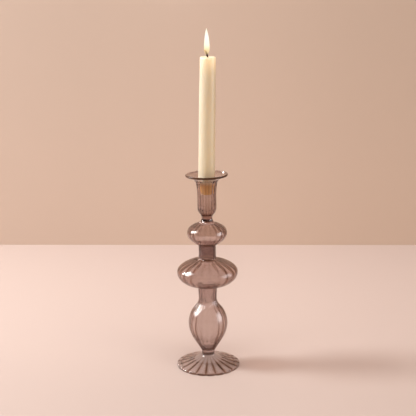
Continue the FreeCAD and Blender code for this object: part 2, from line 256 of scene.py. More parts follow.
def wall_normals(points, kinds):
    """Normal and kind of each profile point, from the walls only, so that a weld doesn't bend it."""
    count = len(points)
    normals = np.zeros((count, 2))
    point_kinds = ["plain"] * count
    for i, kind in enumerate(kinds):
        if kind == "weld":
            continue
        j = (i + 1) % count
        along = points[j] - points[i]
        normal = np.array([along[1], -along[0]]) / (np.hypot(*along) + 1e-15)
        for k in (i, j):
            normals[k] += normal
            point_kinds[k] = kind
    normals /= np.maximum(np.linalg.norm(normals, axis=1), 1e-9)[:, None]
    return normals, point_kinds


def mark_sharp(ob, ring_starts):
    """Marks the edges of the rings whose vertices begin at ring_starts as sharp."""
    ring_of = np.full(len(ob.data.vertices), -1)
    for start in ring_starts:
        ring_of[start:start + len(ANGLES)] = start
    ends = np.empty(len(ob.data.edges) * 2, int)
    ob.data.edges.foreach_get("vertices", ends)
    first, second = ring_of[ends.reshape(-1, 2)].T
    add_attribute(ob, "sharp_edge", "EDGE", (first >= 0) & (first == second), "BOOLEAN")


def lathe(name, loops, depth=None, line=None):
    """A closed mesh turned about Z.

    loops is a list of (points, kind): kind is "outer", "inner", "weld" (fused to the next
    section, or see-through) or "plain". The loops follow one another and close, or start and end
    on the axis. depth(kind, radius, z, angles) moves points along their normal; line, called
    alike, gives the painted shade on them.
    """
    points, kinds = join_loops(loops)
    normals, point_kinds = wall_normals(points, kinds)
    around = len(ANGLES)
    rings, verts, lines, joints = [], [], [], []       # a ring is (first vertex, vertex count)
    for (radius, z), normal, kind in zip(points, normals, point_kinds):
        if radius < 1e-7:
            rings.append((len(verts), 1))
            verts.append((0.0, 0.0, z))
            lines.append(0.0)
            joints.append(0.0)
            continue
        if line:
            lines += list(line(kind, radius, z, ANGLES))
            joint = joint_darkness(z / MM, radius / MM) if kind == "outer" else 0.0
            joints += [joint] * around
        moved = depth(kind, radius, z, ANGLES) if depth else np.zeros(around)
        ring_radius = radius + normal[0] * moved
        rings.append((len(verts), around))
        verts += list(zip(ring_radius * np.cos(ANGLES), ring_radius * np.sin(ANGLES),
                          z + normal[1] * moved))
    faces, welds, sharp = [], [], []
    for i, kind in enumerate(kinds):
        start, count = rings[i]
        after, after_count = rings[(i + 1) % len(rings)]
        for j in range(around):
            k = (j + 1) % around
            if count == 1:
                faces.append((start, after + k, after + j))
            elif after_count == 1:
                faces.append((start + j, start + k, after))
            else:
                faces.append((start + j, start + k, after + k, after + j))
        welds += [float(kind == "weld")] * around
        if count > 1 and (kinds[i - 1] == "weld") != (kind == "weld"):
            sharp.append(start)
    ob = new_object(name, verts, faces)
    add_attribute(ob, "weld", "FACE", welds)
    if line:
        add_attribute(ob, "line", "POINT", lines)
        add_attribute(ob, "joint", "POINT", joints)
    if sharp:
        mark_sharp(ob, sharp)
    return ob


# ------------------------------------------------------------------ ribs
def flute(angle, turn=0.0, width=0.26):
    """1 in the bottom of a flute, 0 on the crown between two; angles in radians."""
    ribs = (angle - RIB_TURN - turn) * RIBS / (2 * math.pi)
    off = np.abs(ribs - np.round(ribs)) * 2           # 0 in the flute, 1 on the crown
    return 1.0 / (1.0 + (off / width) ** 2) ** 1.5


def twist_at(height):
    return math.radians(look_up(TWIST, height))


def to_front(angle):
    """1 towards the front (-Y), 0 towards the back."""
    return np.clip(0.5 - 0.5 * np.sin(angle), 0, 1)


def wobble(angle, z, amount=0.10 * MM):
    """Hand-blown unevenness, the same on both sides of the wall."""
    return amount * (np.sin(angle * 2 + z * 55) * 0.5 + np.sin(angle * 3 - z * 90 + 1.3) * 0.35
                     + np.sin(angle + z * 31 + 0.6) * 0.6)


def stem_depth(kind, radius, z, angle):
    height = z / MM
    depth = look_up(STEM_RIB, height) * MM
    turn = twist_at(height)
    soft = min(1.0, radius / (6 * MM))                # fades out towards the axis
    slim = np.interp(radius, (12 * MM, 23 * MM), (1.0, 0.0))     # the bellies are smooth outside
    if kind == "outer":
        return -depth * slim * flute(angle, turn) + wobble(angle, z) * soft
    if kind == "inner":
        return ((0.35 + 0.5 * (1 - slim)) * depth * flute(angle, turn, width=0.34) * soft
                - wobble(angle, z) * soft)
    return np.zeros_like(angle)


def foot_depth(kind, radius, z, angle):
    if kind != "outer":
        return np.zeros_like(angle)
    return -look_up(FOOT_RIB, radius / MM) * MM * flute(angle, width=0.22)


def pan_line(radius, angle):
    """Painted shade inside the pan, strongest on the left, and painted dark front of the lip."""
    left = 0.65 - 0.35 * np.cos(angle)
    lip = 0.9 * to_front(angle) ** 2 * np.interp(radius / MM, (24.2, 25.4), (0, 1))
    pan = np.interp(radius / MM, (12, 15, 24, 26), (0, 1, 1, 0))
    return np.maximum(PAN_PAINTED_SHADE * left * pan, lip)


def stem_line(kind, radius, z, angle):
    height = z / MM
    if kind == "inner" and height > 244:
        return pan_line(radius, angle)
    if kind != "outer":
        return np.zeros_like(angle)
    dark = look_up(STEM_LINE, height)
    width = LINE_WIDTH * (1.0 + 0.9 * math.exp(-(radius - 7 * MM) / (6 * MM)))
    if height < 192:                              # below the cup: painted lines faintest at front and back
        side = smooth(np.clip((np.abs(np.cos(angle)) - 0.25) / 0.40, 0, 1))
        dark = dark * (0.14 + 0.86 * side)
        # and where the key light strikes the middle bulb from the left
        lit = np.clip(-np.cos(angle + 0.35), 0, 1) ** 2
        dark = dark * (1 - 0.85 * lit * math.exp(-((height - 120) / 9) ** 2))
    shown = dark * flute(angle, twist_at(height), width)
    if height > 240 and radius > 22 * MM:         # painted shade on the rim, darkest towards the front
        outward = min(1.0, (radius - 21.5 * MM) / (2.4 * MM)) ** 2
        shown = np.maximum(shown, (0.38 + 0.62 * to_front(angle) ** 1.6) * outward)
    return shown


def foot_line(kind, radius, z, angle):
    if kind != "outer":
        return np.zeros_like(angle)
    front_right = np.cos(angle + 0.80)            # painted lines darkest and widest towards the front right
    uneven = (0.80 + 0.20 * front_right
              + 0.14 * np.sin(angle * 7 + 2.0) * np.sin(angle * 3 - 0.7))
    width = 0.33 + 0.05 * front_right + 0.10 * math.exp(-(radius / MM - 18) / 5)
    shown = look_up(FOOT_LINE, radius / MM) * uneven * flute(angle, width=width)
    if radius > 38 * MM and z < 4.5 * MM:         # painted shade on the bottom edge, dark at the front
        low = min(1.0, (4.5 * MM - z) / (2.5 * MM))
        shown = np.maximum(shown, 0.72 * to_front(angle - 0.25) ** 1.5 * low)
    return shown


# ------------------------------------------------------------------ glass pieces
def shell(node, loops, depth=stem_depth, line=stem_line):
    ob = lathe(node + "_glass", loops, depth, line)
    fit(ob, node, "holder")
    return ob


def trimmed(points, low=GAP, high=GAP):
    """Moves a wall's ends a hair inward, so that fused sections never share a face."""
    points = points.copy()
    points[0, 1] += low
    points[-1, 1] -= high
    return points


def on_axis(point):
    return (0.0, point[1])


def make_foot():
    top = wall_curve("foot", FOOT_TOP_OUTER, 0.7 * MM)        # from the stem out and down
    under = wall_curve("foot", FOOT_UNDER, 1.0 * MM, FOOT_TOP_OUTER)
    top[0, 1] -= GAP
    # the hollow's ceiling lets light straight through
    ceiling = int(np.argmax(under[:, 0] < 17 * MM))
    return shell("foot", [
        (under[ceiling:][::-1], "weld"),
        (under[:ceiling + 1][::-1], "plain"),
        (straight(under[0], top[-1], 4), "plain"),
        (top[::-1], "outer"),
        ([top[0], on_axis(top[0])], "weld"),
    ], foot_depth, foot_line)


def make_stub(node, table):
    """A solid piece between two fused faces."""
    side = trimmed(wall_curve(node, table, 0.6 * MM))
    return shell(node, [
        ([on_axis(side[0]), side[0]], "weld"),
        (side, "outer"),
        ([side[-1], on_axis(side[-1])], "weld"),
    ])


def make_tube(node, outer_table, inner_table):
    """A hollow piece, open at both ends."""
    outer = trimmed(wall_curve(node, outer_table))
    inner = trimmed(wall_curve(node, inner_table, widest_table=outer_table))
    return shell(node, [
        ([inner[0], outer[0]], "weld"),
        (outer, "outer"),
        ([outer[-1], inner[-1]], "weld"),
        (inner[::-1], "inner"),
    ])


def make_pear_bulb():
    """Hollow above a solid bottom."""
    outer = trimmed(wall_curve("pear_bulb", PEAR_OUTER))
    inner = trimmed(wall_curve("pear_bulb", PEAR_INNER, widest_table=PEAR_OUTER), low=0)
    inner[0, 0] = 0.0
    return shell("pear_bulb", [
        ([on_axis(outer[0]), outer[0]], "weld"),
        (outer, "outer"),
        ([outer[-1], inner[-1]], "weld"),
        (inner[::-1], "inner"),
    ])


def make_upper_bulb():
    """Hollow below a solid top; the hollow's ceiling lets light straight through."""
    outer = trimmed(wall_curve("upper_bulb", UPPER_OUTER))
    inner = trimmed(wall_curve("upper_bulb", UPPER_INNER, widest_table=UPPER_OUTER), high=0)
    inner[-1, 0] = 0.0
    middle = len(inner) // 2
    ceiling = middle + int(np.argmax(inner[middle:, 0] < 9 * MM))
    return shell("upper_bulb", [
        (inner[ceiling:][::-1], "weld"),
        (inner[:ceiling + 1][::-1], "inner"),
        ([inner[0], outer[0]], "weld"),
        (outer, "outer"),
        ([outer[-1], on_axis(outer[-1])], "weld"),
    ])


def make_candle_cup():
    """The outer wall, a round fire-polished rim, the pan and the socket inside."""
    outer = trimmed(wall_curve("candle_cup", CUP_OUTER, widest_table=CUP_RIM), high=0)
    rim = wall_curve("candle_cup", CUP_RIM, 0.28 * MM)
    inner = wall_curve("candle_cup", CUP_INNER, widest_table=CUP_RIM)
    inner[-1, 0] = 0.0
    middle = len(inner) // 2
    socket_floor = middle + int(np.argmax(inner[middle:, 1] < inner[-1, 1] + 4 * MM))
    cup = shell("candle_cup", [
        ([on_axis(outer[0]), outer[0]], "weld"),
        (outer, "outer"),
        (rim, "outer"),
        (inner[:socket_floor + 1], "inner"),
        (inner[socket_floor:], "weld"),
    ])
    # the pan is a little out of level: its right and front sides stand higher
    coords = get_coords(cup)
    x, y = coords[:, 0], coords[:, 1]
    outward = smooth(np.clip((np.hypot(x, y) - 12.5 * MM) / (8 * MM), 0, 1))
    coords[:, 2] += outward * (0.80 * MM + 0.018 * x - 0.016 * y)
    set_coords(cup, coords)
    return cup


glass_pieces = [      # bottom to top, in the order of the GLASS table
    make_foot(),
    make_stub("foot_neck", FOOT_NECK_OUTER),
    make_pear_bulb(),
    make_tube("lower_collar", LOWER_COLLAR_OUTER, LOWER_COLLAR_INNER),
    make_tube("middle_bulb", MIDDLE_OUTER, MIDDLE_INNER),
    make_tube("upper_collar", UPPER_COLLAR_OUTER, UPPER_COLLAR_INNER),
    make_upper_bulb(),
    make_stub("cup_neck", CUP_NECK_OUTER),
    make_candle_cup(),
]

# ------------------------------------------------------------------ candle
WAX_LOW, WAX_HIGH = (corner[2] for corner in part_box("candle_wax"))
WICK_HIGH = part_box("candle_wick")[1][2]
SEAT_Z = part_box("candle_cup")[0][2] + 41.3 * MM     # the throat, where the shoulder rests
LEAN = math.radians(1.15)

# Control points: radius mm, height mm above the wax's bottom
WAX_WEDGE = [
    (6.0, 0), (6.6, 0), (7.1, 0.8), (8.3, 6.0), (8.8, 11.4), (9.0, 13.1), (9.82, 14.5),
    (10.2, 15.6), (10.35, 19.0), (10.4, 25.0)]
# Control points: radius mm, height mm from the wax's top
WAX_TOP = [
    (9.75, -2.6), (9.72, -1.1), (9.40, -0.1), (8.1, 0.05), (6.9, -0.25), (5.0, -1.35),
    (2.6, -1.75), (0.9, -1.75)]
SHAFT_POINTS = 90

WICK_FOOT = WAX_HIGH - 6 * MM          # the braid starts inside the wax
WICK_TIP = Vector((-4.6 * MM, -0.2 * MM, WICK_HIGH - 0.4 * MM))
WICK_POINTS = 90
WICK_AROUND = 18
WICK_TWIST = 60                        # radians over the length of the braid
WICK_ROUGH = 0.10                      # of the radius

FLAME_LOW, FLAME_HIGH = 0.3972, 0.4298
FLAME_WIDTH = 3.55 * MM                # half the greatest width


def lean(ob):
    """The candle stands a little out of true, leaning right about the throat it is wedged in."""
    coords = get_coords(ob)
    cos, sin = math.cos(LEAN), math.sin(LEAN)
    x, z = coords[:, 0].copy(), coords[:, 2] - SEAT_Z
    coords[:, 0] = x * cos + z * sin
    coords[:, 2] = SEAT_Z + z * cos - x * sin
    set_coords(ob, coords)


def wax_depth(kind, radius, z, angle):
    """Hand-dipped unevenness on the shaft, a soft rim at the top, knife marks on the wedge."""
    above = z - WAX_LOW
    inward = min(1, radius / (8 * MM))
    depth = (0.09 * MM * np.sin(angle * 2 + z * 60)
             + 0.05 * MM * np.sin(angle * 5 - z * 130) * inward)
    if above < 16 * MM:
        cuts = np.minimum(0, 0.30 * MM * np.cos(angle * 7 + 0.8))
        depth = depth + cuts * min(1, (16 * MM - above) / (5 * MM)) - 0.05 * MM
    if z > WAX_HIGH - 9 * MM:
        fade = min(1, (z - WAX_HIGH + 9 * MM) / (5 * MM))
        ripple = np.sin(angle * 9 + z * 900) * np.sin(angle * 4 - z * 1500)
        depth = depth + 0.10 * MM * fade * ripple * min(1, radius / (9 * MM))
    if z > WAX_HIGH - 3.5 * MM:
        fade = min(1, (z - WAX_HIGH + 3.5 * MM) / (2.0 * MM))
        depth = depth + 0.16 * MM * fade * np.sin(angle * 3 + 0.4) * inward
    return depth * min(1, radius / (3 * MM))


def make_wax():
    wedge = np.array(WAX_WEDGE) * MM + (0, WAX_LOW)
    top = np.array(WAX_TOP) * MM + (0, WAX_HIGH)
    top_curve = curve(top, 0.3 * MM)
    ob = lathe("candle_wax_body", [
        ([on_axis(wedge[0]), wedge[0]], "plain"),
        (curve(wedge, 0.6 * MM), "outer"),
        (straight(wedge[-1], top[0], SHAFT_POINTS), "outer"),
        (top_curve, "outer"),
        ([top_curve[-1], on_axis(top[-1])], "outer"),
    ], wax_depth)
    fit(ob, "candle_wax", "candle")
    lean(ob)
    return ob


def wick_radius(f):
    """Thicker above the wax, tapering to a blunt tip; f runs from 0 to 1 along the wick."""
    radius = 0.85 * MM + 0.30 * MM * min(1, max(0, f - 0.40) / 0.12)
    return radius * (1.0 - 0.22 * max(0, f - 0.70) / 0.30) * (0.55 if f > 0.985 else 1.0)


def wick_path():
    """From inside the wax, bending left to the tip."""
    path = []
    for f in np.linspace(0, 1, WICK_POINTS):
        z = WICK_FOOT + (WICK_TIP.z - WICK_FOOT) * f
        bend = max(0.0, (z - (WAX_HIGH - 1 * MM)) / (WICK_TIP.z - WAX_HIGH + 1 * MM))
        path.append(Vector((WICK_TIP.x * (0.58 * bend + 0.42 * bend ** 8),
                            0.25 * MM * math.sin(bend * 5), z)))
    return path


def make_wick():
    """A closed tube with a plaited surface."""
    path = wick_path()
    last = len(path) - 1
    verts, faces = [], []
    for i, point in enumerate(path):
        along = (path[min(i + 1, last)] - path[max(i - 1, 0)]).normalized()
        side = Vector((0, 1, 0)).cross(along).normalized()
        other = along.cross(side)
        f = i / last
        for j in range(WICK_AROUND):
            angle = 2 * math.pi * j / WICK_AROUND
            plait = (math.sin(3 * angle + WICK_TWIST * f)
                     * math.cos(3 * angle - WICK_TWIST * f))
            fuzz = noise.noise(Vector((math.cos(angle) * 2, math.sin(angle) * 2, f * 30)))
            radius = wick_radius(f) * (1 + WICK_ROUGH * plait + 0.5 * WICK_ROUGH * fuzz)
            verts.append(point + side * (math.cos(angle) * radius)
                         + other * (math.sin(angle) * radius))
    for i in range(last):
        start, after = i * WICK_AROUND, (i + 1) * WICK_AROUND
        for j in range(WICK_AROUND):
            k = (j + 1) % WICK_AROUND
            faces.append((start + j, start + k, after + k, after + j))
    faces.append(tuple(reversed(range(WICK_AROUND))))
    faces.append(tuple(last * WICK_AROUND + j for j in range(WICK_AROUND)))
    ob = new_object("candle_wick_braid", verts, faces)
    fit(ob, "candle_wick", "candle")
    lean(ob)
    return ob


def make_flame():
    """The flame, a lathed teardrop over the wick that leans and rides with the candle.
    The flame belongs to the shot, not to the object.
    """
    height = FLAME_HIGH - FLAME_LOW
    outline = []
    for f in np.linspace(0, 1, 60):
        radius = 0.0
        if 0 < f < 1:
            swell = min(1.0, (f / 0.16)) ** 0.55
            taper = (1.0 - max(0.0, (f - 0.22) / 0.78) ** 2.1) ** 0.95
            radius = FLAME_WIDTH * swell * taper
        outline.append((radius, FLAME_LOW + height * f))
    ob = lathe("flame", [(outline, "plain")])
    coords = get_coords(ob)
    f = (coords[:, 2] - FLAME_LOW) / height
    coords[:, 0] += -1.5 * MM - 0.6 * MM * f + 0.35 * MM * np.sin(f * 3.3)     # over the wick
    coords[:, 1] *= 0.8
    set_coords(ob, coords)
    lean(ob)
    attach(ob, "candle")
    return ob


wax = make_wax()
wick = make_wick()
flame = make_flame()


# ------------------------------------------------------------------ shader building
class Shader:
    """A material with an empty node tree, and short ways to add nodes to it."""

    def __init__(self, name):
        self.material = bpy.data.materials.new(name)
        self.material.use_nodes = True
        self.tree = self.material.node_tree
        self.tree.nodes.clear()

    def node(self, kind, inputs=None, **settings):
        """Adds a node. An input is given a value, or another node's output to link."""
        node = self.tree.nodes.new("ShaderNode" + kind)
        for key, value in settings.items():
            setattr(node, key, value)
        for key, value in (inputs or {}).items():
            socket = node.inputs[key]
            if isinstance(value, bpy.types.NodeSocket):
                self.tree.links.new(value, socket)
            else:
                socket.default_value = (*value, 1) if socket.type == "RGBA" else value
        return node

    def out(self, kind, output, inputs=None, **settings):
        """Adds a node and returns one of its outputs."""
        return self.node(kind, inputs, **settings).outputs[output]

    def coords(self):
        return self.out("TexCoord", "Object")

    def height(self, coords):
        return self.out("SeparateXYZ", "Z", {0: coords})

    def stretched(self, coords, z):
        return self.out("Mapping", "Vector", {"Vector": coords, "Scale": (1, 1, z)})

    def attribute(self, name):
        return self.out("Attribute", "Fac", attribute_name=name)

    def facing(self, blend):
        return self.out("LayerWeight", "Facing", {"Blend": blend})

    def noise(self, coords, scale, detail):
        return self.out("TexNoise", "Fac", {"Vector": coords, "Scale": scale, "Detail": detail})

    def bump(self, height, strength, distance):
        return self.out("Bump", "Normal",
                        {"Height": height, "Strength": strength, "Distance": distance})

    def map_range(self, value, from_min=0.0, from_max=1.0, to_min=0.0, to_max=1.0,
                  easing="LINEAR"):
        return self.out("MapRange", "Result", {
            "Value": value, "From Min": from_min, "From Max": from_max,
            "To Min": to_min, "To Max": to_max}, interpolation_type=easing)

    def math(self, operation, *values, clamp=False):
        return self.out("Math", 0, dict(enumerate(values)), operation=operation,
                        use_clamp=clamp)

    def ramp(self, value, stops):
        """stops is a list of (position, colour), in rising order."""
        node = self.node("ValToRGB", {0: value})
        elements = node.color_ramp.elements
        for i, (position, color) in ((0, stops[0]), (1, stops[-1])):
            elements[i].position, elements[i].color = position, (*color, 1)
        for position, color in stops[1:-1]:
            elements.new(position).color = (*color, 1)
        return node.outputs[0]

    def mix_color(self, factor, first, second):
        return self.out("Mix", 2, {0: factor, 6: first, 7: second}, data_type="RGBA")

    def mix_shader(self, factor, first, second):
        return self.out("MixShader", 0, {0: factor, 1: first, 2: second})

    def transparent(self):
        return self.out("BsdfTransparent", 0)

    def emission(self, color, strength):
        return self.out("Emission", 0, {"Color": color, "Strength": strength})

    def finish(self, ob, **sockets):
        """Links the material output's sockets and gives the material to the object."""
        self.node("OutputMaterial", {key.title(): value for key, value in sockets.items()})
        ob.data.materials.append(self.material)


def linear(*srgb):
    """Linear colour from sRGB values of 0 to 255."""
    return tuple(((c / 255) / 12.92 if c <= 10 else (((c / 255) + 0.055) / 1.055) ** 2.4)
                 for c in srgb)


# ------------------------------------------------------------------ glass
WHITE = (1, 1, 1)
# One entry per piece, bottom to top. density: absorption per metre; tint: what a thick piece lets
# through; face_on: strength of the painted dark lines on walls that face the viewer;
# edge_painted_shade: painted shade where the wall turns away; clear_tint: the surface without
# painted lines; shade, edge_shade and shadow: what a wall lets through to its shadow, straight on,
# at its edge, and in what colour.
GLASS = {
    "foot": dict(density=42, tint=(0.30, 0.146, 0.118), face_on=1.0, shade=0.98,
                 edge_shade=0.92, clear_tint=(0.81, 0.77, 0.76), shadow=WHITE),
    "foot_neck": dict(density=75, tint=(0.32, 0.15, 0.12)),
    "pear_bulb": dict(density=150, face_on=0.15),
    "lower_collar": dict(density=275, tint=(0.40, 0.175, 0.12)),
    "middle_bulb": dict(density=188, face_on=0.2),
    "upper_collar": dict(density=545, tint=(0.38, 0.163, 0.12)),
    "upper_bulb": dict(density=178, face_on=0.3),
    "cup_neck": dict(density=140),
    "candle_cup": dict(density=175, face_on=0.8, edge_painted_shade=0.15, shade=0.95, shadow=WHITE),
}
PAINTED_LINE_SHADE = ((0.30, 0.145, 0.090), (0.010, 0.003, 0.001))     # a half-dark and a full painted line of shade
BACK_LINES = 0.5            # strength of painted lines not seen directly


def joint_on_near_side(shader, camera_ray):
    """1 where a camera ray meets a wall that faces it, as seen from above."""
    geometry = shader.node("NewGeometry")
    level = []
    for source in ("Normal", "Incoming"):
        flattened = shader.out("VectorMath", 0, {0: geometry.outputs[source], 1: (1, 1, 0)},
                               operation="MULTIPLY")
        level.append(shader.out("VectorMath", 0, {0: flattened}, operation="NORMALIZE"))
    ahead = shader.out("VectorMath", "Value", {0: level[0], 1: level[1]},
                       operation="DOT_PRODUCT")
    ahead = shader.map_range(ahead, from_min=0.50, from_max=0.88, easing="SMOOTHSTEP")
    return shader.math("MULTIPLY", ahead, camera_ray)


def painted_glass_shade(shader, joint, camera_ray, face_on, edge_painted_shade):
    """Painted shade: thin dark lines on the flutes, edges and fused rings stand in for dark
    surroundings refracted through the glass.
    """
    away = shader.facing(blend=0.5)
    turned = shader.map_range(away, from_min=0.03, from_max=0.33, to_min=face_on,
                              easing="SMOOTHSTEP")
    lines = shader.math("MULTIPLY", shader.attribute("line"), turned)
    edge = shader.map_range(away, from_min=0.66, from_max=1.0, to_max=edge_painted_shade)
    near = shader.map_range(camera_ray, to_min=BACK_LINES)
    dimmed = shader.math("MULTIPLY", shader.math("MAXIMUM", lines, edge), near)
    rings = shader.math("MULTIPLY", joint, joint_on_near_side(shader, camera_ray))
    return shader.math("MAXIMUM", dimmed, rings)


def glass_normal(shader, coords):
    """Faint blown waviness and seeds."""
    wave = shader.noise(shader.stretched(coords, z=0.35), scale=120, detail=1.5)
    seeds = shader.out("TexVoronoi", "Distance", {"Scale": 210, "Vector": coords})
    seeds = shader.map_range(seeds, from_max=0.10, to_min=1.0, to_max=0.0)
    seed_height = 0.15
    relief = shader.math("MULTIPLY_ADD", seeds, seed_height, wave)
    return shader.bump(relief, strength=0.045, distance=0.0009)


def add_glass(ob, name, density, tint=(0.44, 0.195, 0.115), face_on=0.25, edge_painted_shade=0.80,
              clear_tint=(0.985, 0.98, 0.98), shade=0.94, edge_shade=0.5,
              shadow=(0.83, 0.70, 0.63)):
    """Smoky lilac-brown glass: clear surface under painted dark lines, colour from its thickness.
    Fused faces let light straight through; lamps are only tinted, never blocked."""
    shader = Shader(name)
    coords = shader.coords()
    joint = shader.attribute("joint")
    camera_ray = shader.out("LightPath", "Is Camera Ray")
    painted_shade = painted_glass_shade(shader, joint, camera_ray, face_on, edge_painted_shade)
    color = shader.ramp(painted_shade, [(0.0, clear_tint), (0.5, PAINTED_LINE_SHADE[0]), (1.0, PAINTED_LINE_SHADE[1])])
    # the darkest painted lines and the rim's painted dark front are all but opaque
    transmission = shader.map_range(painted_shade, from_min=0.40, from_max=1.0, to_min=1.0, to_max=0.0,
                                    easing="SMOOTHSTEP")
    streaks = shader.noise(coords, scale=55, detail=2)
    surface = shader.out("BsdfPrincipled", 0, {
        "Base Color": color,
        "Transmission Weight": transmission,
        "Specular IOR Level": 0.08,
        "IOR": 1.5,
        "Roughness": shader.map_range(streaks, to_max=0.045),
        "Normal": glass_normal(shader, coords),
    })
    # other rays than the camera's pass a fused ring unbent
    behind = shader.math("SUBTRACT", joint, camera_ray, clamp=True)
    through = shader.math("MAXIMUM", shader.attribute("weld"), behind)
    surface = shader.mix_shader(through, surface, shader.transparent())
    shadow_color = shader.mix_color(shader.facing(blend=0.35),
                                    tuple(shade * c for c in shadow),
                                    tuple(shade * edge_shade * c for c in shadow))
    tinted = shader.out("BsdfTransparent", 0, {"Color": shadow_color})
    shadow_ray = shader.out("LightPath", "Is Shadow Ray")
    volume = shader.out("VolumeAbsorption", 0, {"Color": tint, "Density": density})
    shader.finish(ob, surface=shader.mix_shader(shadow_ray, surface, tinted), volume=volume)


for piece, (node_name, glass_settings) in zip(glass_pieces, GLASS.items()):
    add_glass(piece, "smoky_glass_" + node_name, **glass_settings)

# ------------------------------------------------------------------ candle materials
WAX_MAIN = linear(223, 214, 193)
WAX_ALT = linear(218, 207, 181)
PLUG_WAX_PAINTED_AMBER = linear(204, 165, 92)        # the wax in the socket, painted a deeper amber as if lit through the glass
# painted glows: emission strength in the socket and at the top of the wax
PLUG_PAINTED_GLOW = 0.16
TOP_PAINTED_GLOW = 0.30


def add_cream_wax(ob):
    """Waxy and a little translucent; a painted glow stands in for the flame shining into the top and
    for light reaching the wax in the socket.
    """
    shader = Shader("cream_wax")
    coords = shader.coords()
    height = shader.height(coords)
    mottled = shader.mix_color(shader.noise(coords, scale=60, detail=4), WAX_MAIN, WAX_ALT)
    above_seat = shader.map_range(height, from_min=SEAT_Z - 0.004, from_max=SEAT_Z + 0.002)
    grain = shader.noise(shader.stretched(coords, z=0.12), scale=420, detail=3)
    # painted glow: emission near the top for the flame's light, amber emission in the socket for
    # light through the glass
    painted_top_glow = shader.map_range(height, from_min=WAX_HIGH - 0.030, from_max=WAX_HIGH + 0.001,
                            easing="SMOOTHERSTEP")
    painted_plug_glow = shader.map_range(height, from_min=SEAT_Z + 0.004, from_max=SEAT_Z - 0.004,
                            to_max=PLUG_PAINTED_GLOW)
    plug_light, top_light = (1.0, 0.50, 0.17), (1.0, 0.66, 0.32)
    surface = shader.out("BsdfPrincipled", 0, {
        "Base Color": shader.mix_color(above_seat, PLUG_WAX_PAINTED_AMBER, mottled),
        "Roughness": 0.42,
        "Subsurface Weight": 0.55,
        "Subsurface Radius": (1.0, 0.90, 0.72),
        "Subsurface Scale": 0.020,
        "Normal": shader.bump(grain, strength=0.25, distance=0.0003),
        "Emission Color": shader.mix_color(above_seat, plug_light, top_light),
        "Emission Strength": shader.math(
            "ADD", shader.math("MULTIPLY", painted_top_glow, TOP_PAINTED_GLOW), painted_plug_glow),
    })
    shader.finish(ob, surface=surface)


def add_burnt_wick(ob):
    """Charred braid with an ember at its tip, still raw cotton where it leaves the wax."""
    shader = Shader("burnt_wick")
    coords = shader.coords()
    height = shader.height(coords)
    ash = shader.noise(coords, scale=900, detail=4)
    charred = shader.mix_color(ash, (0.010, 0.004, 0.003), (0.040, 0.015, 0.008))
    above_wax = shader.map_range(height, from_min=WAX_HIGH - 0.002, from_max=WAX_HIGH + 0.002)
    cotton = (0.20, 0.12, 0.06)
    surface = shader.out("BsdfPrincipled", 0, {
        "Base Color": shader.mix_color(above_wax, cotton, charred),
        "Roughness": 0.9,
        "Specular IOR Level": 0.2,
        "Emission Color": (1.0, 0.22, 0.06),
        "Emission Strength": shader.map_range(
            height, from_min=WICK_HIGH - 0.0035, from_max=WICK_HIGH + 0.0002, to_max=0.55),
        "Normal": shader.bump(ash, strength=0.6, distance=0.0002),
    })
    shader.finish(ob, surface=surface)


def add_flame(ob):
    """Orange foot, pale yellow body and tip, clear at its edge and foot."""
    shader = Shader("flame")
    height = shader.map_range(shader.height(shader.coords()), from_min=FLAME_LOW,
                              from_max=FLAME_HIGH)
    color = shader.ramp(height, [
        (0.0, (1.0, 0.66, 0.30)), (0.20, (1.0, 0.80, 0.42)), (0.38, (1.0, 0.95, 0.74)),
        (0.70, (1.0, 0.98, 0.88)), (1.0, (1.0, 0.93, 0.72))])
    inside = shader.map_range(shader.facing(blend=0.5), from_min=0.30, from_max=0.95,
                              to_min=0.98, to_max=0.0)
    above_foot = shader.map_range(height, from_max=0.34, to_min=0.10)
    surface = shader.mix_shader(shader.math("MULTIPLY", inside, above_foot),
                                shader.transparent(), shader.emission(color, strength=1.15))
    shader.finish(ob, surface=surface)


add_cream_wax(wax)
add_burnt_wick(wick)
add_flame(flame)

# ------------------------------------------------------------------ floor and backdrop
FLOOR_COLOR = (0.575, 0.468, 0.428)
WALL_COLOR = (0.572, 0.452, 0.380)
# Painted light and shade on a surface along an axis: place in metres, factor
FLOOR_PAINTED_LIGHT_X = [
    (-0.80, 0.97), (-0.27, 0.995), (0.0, 1.01), (0.10, 1.045), (0.27, 1.03), (0.80, 1.02)]
FLOOR_PAINTED_LIGHT_Y = [
    (-1.2, 0.92), (-0.125, 0.935), (-0.05, 0.95), (0.088, 1.00), (0.257, 1.03), (0.56, 1.03)]
WALL_PAINTED_LIGHT_X = [
    (-0.60, 0.93), (-0.345, 0.955), (-0.23, 0.965), (-0.12, 0.99), (0.0, 1.01), (0.12, 1.00),
    (0.26, 0.96), (0.60, 0.94)]
WALL_PAINTED_LIGHT_Z = [(-0.02, 1.08), (0.12, 1.06), (0.25, 1.01), (0.42, 0.95), (0.80, 0.93)]
FLOOR_HALF = 4
WALL_HALF = 1.5
WALL_HEIGHT = 1.6
WALL_LEFT_Y = 0.56 + 0.06           # the backdrop's left end stands farther back
WALL_RIGHT_Y = 0.56 - 0.06
TONE_SCALE = 2.0                    # tone curves hold factors divided by this, to stay below 1


def tone(shader, place, table):
    low, high = table[0][0], table[-1][0]
    node = shader.node("FloatCurve", {
        "Value": shader.map_range(place, from_min=low, from_max=high)})
    points = node.mapping.curves[0].points
    node.mapping.use_clip = False
    points[0].location = (0, table[0][1] / TONE_SCALE)
    points[1].location = (1, table[-1][1] / TONE_SCALE)
    for x, factor in table[1:-1]:
        points.new((x - low) / (high - low), factor / TONE_SCALE)
    node.mapping.update()
    return shader.math("MULTIPLY", node.outputs["Value"], TONE_SCALE)


